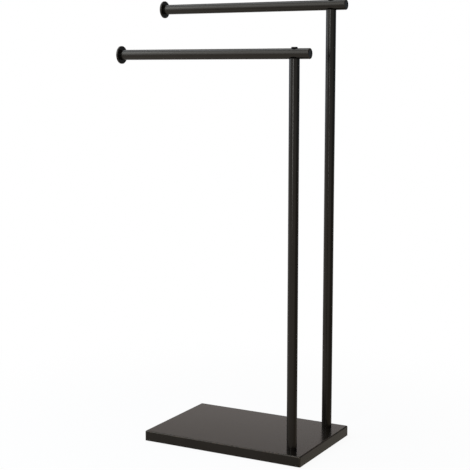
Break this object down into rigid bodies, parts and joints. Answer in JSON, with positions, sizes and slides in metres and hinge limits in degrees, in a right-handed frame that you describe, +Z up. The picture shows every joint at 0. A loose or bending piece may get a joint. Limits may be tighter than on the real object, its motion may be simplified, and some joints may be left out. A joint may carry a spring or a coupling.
{
  "type": "freestanding towel stand",
  "caption": "Freestanding towel stand: a weighted flat base with stepped posts near one end, each with a long level arm screwed down in a saddle.",
  "frame": {"origin": "on the floor, under the middle of the whole stand's box", "axes": "+Z up along the posts, +X to the right along the arms, from their discs to the posts, -Y the front, where the lower arm is"},
  "size_m": [0.399, 0.219, 0.8512],
  "materials": {
    "bronze_base": "dark bronze coating, semi-gloss, on folded sheet steel",
    "bronze_tube": "dark bronze coating, satin, fine lengthwise grain, on drawn steel tube",
    "bronze_fittings": "dark bronze coating, satin, on turned fittings",
    "black_screws": "black oxide",
    "cast_ballast": "rough grey casting",
    "zinc_steel": "bright zinc plating",
    "plain_steel": "turned, lightly oiled",
    "foot_rubber": "matte moulded"
  },
  "bodies": {
    "root": {"base_shell": "bronze_base", "base_weight": "cast_ballast", "foot_front_left": "foot_rubber", "foot_front_right": "foot_rubber", "foot_back_left": "foot_rubber", "foot_back_right": "foot_rubber", "front_post": "bronze_tube", "front_post_foot_plug": "plain_steel", "front_arm_tube": "bronze_tube", "front_arm_insert": "plain_steel", "front_arm_disc": "bronze_fittings", "front_arm_end_plug": "bronze_fittings", "back_post": "bronze_tube", "back_post_foot_plug": "plain_steel", "back_arm_tube": "bronze_tube", "back_arm_insert": "plain_steel", "back_arm_disc": "bronze_fittings", "back_arm_end_plug": "bronze_fittings", "post_bolts": "zinc_steel", "post_spring_washers": "zinc_steel", "arm_screws": "black_screws"}
  },
  "joints": []
}
